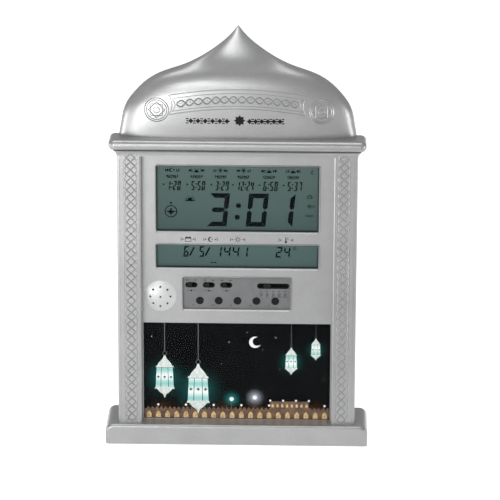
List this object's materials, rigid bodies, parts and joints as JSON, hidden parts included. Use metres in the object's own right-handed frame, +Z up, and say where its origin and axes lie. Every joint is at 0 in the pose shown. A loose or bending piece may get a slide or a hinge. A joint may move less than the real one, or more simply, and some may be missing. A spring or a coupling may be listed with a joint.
{
  "type": "azan clock",
  "caption": "Mosque-shaped desk clock with liquid crystal displays, slide and push controls, a speaker grille and a framed night picture under an onion dome.",
  "frame": {"origin": "centre of the footprint, on the plane that the rubber pads rest on", "axes": "+Z up, front of the clock towards -Y, +X to the viewer's right"},
  "size_m": [0.203, 0.045, 0.33],
  "materials": {
    "silver_paint": "satin silver paint on moulded plastic",
    "light_silver": "light satin silver paint",
    "panel_grey": "matt grey",
    "black_plastic": "satin black",
    "clear_acrylic": "clear and polished",
    "display_glass": "dark green-grey behind polished glass",
    "light_guide": "milky white",
    "printed_card": "printed, satin",
    "circuit_board": "green solder mask",
    "black_epoxy": "glossy black",
    "bright_steel": "bright zinc plate",
    "switch_metal": "plated sheet",
    "conductive_rubber": "striped grey rubber",
    "black_rubber": "matt black rubber",
    "paper_cone": "black paper",
    "dark_ferrite": "dark grey",
    "emitter": "pale yellow",
    "capacitor_sleeve": "dark blue sleeve",
    "lead_red": "red insulation",
    "lead_black": "black insulation",
    "ribbon_grey": "grey flat cable",
    "cell_wrap": "plain wrap"
  },
  "bodies": {
    "case": {"front_case": "silver_paint", "fascia_panel": "silver_paint", "rear_case": "silver_paint", "picture_print": "printed_card", "picture_cover": "clear_acrylic", "main_lens": "clear_acrylic", "date_lens": "clear_acrylic", "main_display": "display_glass", "date_display": "display_glass", "main_light_guide": "light_guide", "date_light_guide": "light_guide", "contact_strips": "conductive_rubber", "backlight_leds": "emitter", "main_board": "circuit_board", "main_chip": "black_epoxy", "quartz_crystal": "bright_steel", "capacitors": "capacitor_sleeve", "temperature_sensor": "black_epoxy", "control_plate": "panel_grey", "key_board": "circuit_board", "tact_switches": "switch_metal", "slide_switch_bodies": "switch_metal", "selector_body": "switch_metal", "speaker_grille": "light_silver", "speaker_gasket": "black_rubber", "speaker_basket": "bright_steel", "speaker_cone": "paper_cone", "speaker_magnet": "dark_ferrite", "speaker_clamp": "bright_steel", "fascia_screws": "bright_steel", "clamp_screws": "bright_steel", "board_screws": "bright_steel", "case_screws": "bright_steel", "rubber_pads": "black_rubber", "power_jack": "black_plastic", "jack_nut": "bright_steel", "speaker_lead": "lead_black", "jack_lead": "lead_red", "battery_leads": "lead_red", "board_ribbon": "ribbon_grey", "battery_contacts": "bright_steel", "battery_cells": "cell_wrap"},
    "door": {"battery_door": "silver_paint"},
    "button_1": {"push_button_1": "black_plastic"},
    "button_2": {"push_button_2": "black_plastic"},
    "button_3": {"push_button_3": "black_plastic"},
    "button_4": {"push_button_4": "black_plastic"},
    "button_5": {"push_button_5": "black_plastic"},
    "switch_1": {"slide_knob_1": "black_plastic"},
    "switch_2": {"slide_knob_2": "black_plastic"},
    "switch_3": {"slide_knob_3": "black_plastic"},
    "selector": {"selector_knob": "black_plastic"}
  },
  "joints": [
    {"name": "battery_door_hinge", "type": "hinge", "parent": "case", "child": "door", "pos_m": [0, 0.0195, 0.0306], "axis": [-1, 0, 0], "range_deg": [0, 90]},
    {"name": "button_1_press", "type": "slide", "parent": "case", "child": "button_1", "axis": [0, 1, 0], "range_m": [0, 0.0005], "stiffness_N_per_m": 1000},
    {"name": "button_2_press", "type": "slide", "parent": "case", "child": "button_2", "axis": [0, 1, 0], "range_m": [0, 0.0005], "stiffness_N_per_m": 1000},
    {"name": "button_3_press", "type": "slide", "parent": "case", "child": "button_3", "axis": [0, 1, 0], "range_m": [0, 0.0005], "stiffness_N_per_m": 1000},
    {"name": "button_4_press", "type": "slide", "parent": "case", "child": "button_4", "axis": [0, 1, 0], "range_m": [0, 0.0005], "stiffness_N_per_m": 1000},
    {"name": "button_5_press", "type": "slide", "parent": "case", "child": "button_5", "axis": [0, 1, 0], "range_m": [0, 0.0005], "stiffness_N_per_m": 1000},
    {"name": "switch_1_slide", "type": "slide", "parent": "case", "child": "switch_1", "axis": [1, 0, 0], "range_m": [0, 0.0032]},
    {"name": "switch_2_slide", "type": "slide", "parent": "case", "child": "switch_2", "axis": [1, 0, 0], "range_m": [0, 0.0032]},
    {"name": "switch_3_slide", "type": "slide", "parent": "case", "child": "switch_3", "axis": [1, 0, 0], "range_m": [0, 0.0032]},
    {"name": "selector_slide", "type": "slide", "parent": "case", "child": "selector", "axis": [1, 0, 0], "range_m": [-0.0046, 0.0138]}
  ]
}
